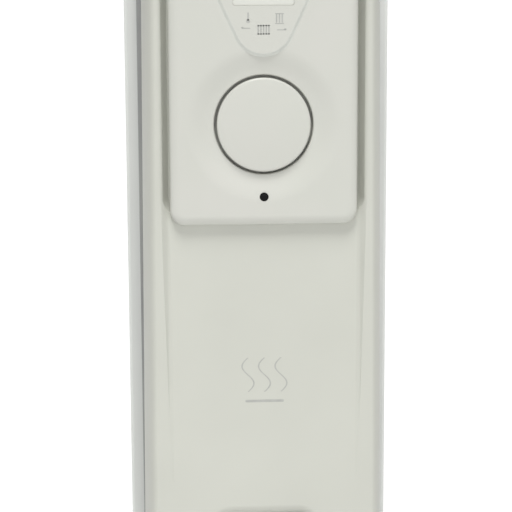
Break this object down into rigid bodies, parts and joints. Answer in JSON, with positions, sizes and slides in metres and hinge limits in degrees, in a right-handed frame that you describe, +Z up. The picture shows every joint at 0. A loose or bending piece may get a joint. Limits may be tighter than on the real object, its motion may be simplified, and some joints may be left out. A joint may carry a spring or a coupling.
{
  "type": "oil filled radiator heater",
  "caption": "Free-standing oil filled radiator heater with pressed steel fins, a front control housing with display and dial, a top handle, and a castor at each corner.",
  "frame": {"origin": "on the floor, under the middle of the heater", "axes": "+Z up; the control face looks along -Y and the fins are stacked along Y; X is across the heater"},
  "size_m": [0.244, 0.4006, 0.6713],
  "materials": {
    "enamelled_steel": "satin enamel, pale grey",
    "case_plastic": "fine-grained, off-white",
    "face_plastic": "smooth satin, off-white",
    "inner_plastic": "plain moulded, light grey",
    "display_window": "glossy, pale",
    "shield_steel": "matt dark grey",
    "black_plastic": "moulded black",
    "circuit_board": "green solder mask",
    "gasket_rubber": "moulded",
    "brass": "stamped",
    "zinc_steel": "zinc plated",
    "wheel_nylon": "moulded dark grey nylon"
  },
  "bodies": {
    "radiator": {"fin_1": "enamelled_steel", "fin_2": "enamelled_steel", "fin_3": "enamelled_steel", "fin_4": "enamelled_steel", "fin_5": "enamelled_steel", "fin_6": "enamelled_steel", "fin_7": "enamelled_steel", "fin_8": "enamelled_steel", "fin_9": "enamelled_steel", "foot_front": "enamelled_steel", "foot_rear": "enamelled_steel", "front_cover": "case_plastic", "carry_handle": "case_plastic", "cord_cleat": "case_plastic", "fascia": "face_plastic", "display_bezel": "face_plastic", "rear_shell": "inner_plastic", "display_module": "inner_plastic", "terminal_block": "inner_plastic", "tilt_switch_case": "inner_plastic", "display_window": "display_window", "heat_shield": "shield_steel", "receiver_lens": "black_plastic", "cord_gland": "black_plastic", "encoder_body": "black_plastic", "thermal_cutout": "black_plastic", "room_sensor": "black_plastic", "control_board": "circuit_board", "power_board": "circuit_board", "element_gasket": "gasket_rubber", "filler_plug": "zinc_steel", "element_flange": "zinc_steel", "heating_element_low": "zinc_steel", "heating_element_high": "zinc_steel", "u_bolt_front": "zinc_steel", "u_bolt_rear": "zinc_steel", "cover_screw_lower_left": "zinc_steel", "cover_screw_lower_right": "zinc_steel", "cover_screw_upper_left": "zinc_steel", "cover_screw_upper_right": "zinc_steel", "wing_nut_front_left": "zinc_steel", "wing_nut_front_right": "zinc_steel", "wing_nut_rear_left": "zinc_steel", "wing_nut_rear_right": "zinc_steel"},
    "encoder": {"encoder_wheel": "brass"},
    "dial": {"dial_shaft": "zinc_steel", "dial_knob": "face_plastic"},
    "tilt_bob": {"tilt_switch_bob": "zinc_steel"},
    "castor_front_left": {"castor_fork_front_left": "black_plastic", "castor_axle_front_left": "zinc_steel"},
    "wheel_front_left": {"castor_wheel_front_left": "wheel_nylon"},
    "castor_front_right": {"castor_fork_front_right": "black_plastic", "castor_axle_front_right": "zinc_steel"},
    "wheel_front_right": {"castor_wheel_front_right": "wheel_nylon"},
    "castor_rear_left": {"castor_fork_rear_left": "black_plastic", "castor_axle_rear_left": "zinc_steel"},
    "wheel_rear_left": {"castor_wheel_rear_left": "wheel_nylon"},
    "castor_rear_right": {"castor_fork_rear_right": "black_plastic", "castor_axle_rear_right": "zinc_steel"},
    "wheel_rear_right": {"castor_wheel_rear_right": "wheel_nylon"}
  },
  "joints": [
    {"name": "dial_turn", "type": "hinge", "parent": "radiator", "child": "encoder", "pos_m": [0, -0.18882, 0.47], "axis": [0, -1, 0], "continuous": true},
    {"name": "dial_push", "type": "slide", "parent": "encoder", "child": "dial", "axis": [0, 1, 0], "range_m": [0, 0.001], "stiffness_N_per_m": 400, "springref_m": -0.001},
    {"name": "tilt_swing", "type": "hinge", "parent": "radiator", "child": "tilt_bob", "pos_m": [0.045, -0.15382, 0.214], "axis": [0, 1, 0], "range_deg": [-30, 30]},
    {"name": "swivel_front_left", "type": "hinge", "parent": "radiator", "child": "castor_front_left", "pos_m": [-0.102, -0.10983, 0.06], "axis": [0, 0, 1], "continuous": true},
    {"name": "roll_front_left", "type": "hinge", "parent": "castor_front_left", "child": "wheel_front_left", "pos_m": [-0.102, -0.09582, 0.01983], "axis": [1, 0, 0], "continuous": true},
    {"name": "swivel_front_right", "type": "hinge", "parent": "radiator", "child": "castor_front_right", "pos_m": [0.102, -0.10983, 0.06], "axis": [0, 0, 1], "continuous": true},
    {"name": "roll_front_right", "type": "hinge", "parent": "castor_front_right", "child": "wheel_front_right", "pos_m": [0.102, -0.09582, 0.01983], "axis": [1, 0, 0], "continuous": true},
    {"name": "swivel_rear_left", "type": "hinge", "parent": "radiator", "child": "castor_rear_left", "pos_m": [-0.102, 0.15618, 0.06], "axis": [0, 0, 1], "continuous": true},
    {"name": "roll_rear_left", "type": "hinge", "parent": "castor_rear_left", "child": "wheel_rear_left", "pos_m": [-0.102, 0.17017, 0.01983], "axis": [1, 0, 0], "continuous": true},
    {"name": "swivel_rear_right", "type": "hinge", "parent": "radiator", "child": "castor_rear_right", "pos_m": [0.102, 0.15618, 0.06], "axis": [0, 0, 1], "continuous": true},
    {"name": "roll_rear_right", "type": "hinge", "parent": "castor_rear_right", "child": "wheel_rear_right", "pos_m": [0.102, 0.17017, 0.01983], "axis": [1, 0, 0], "continuous": true}
  ]
}
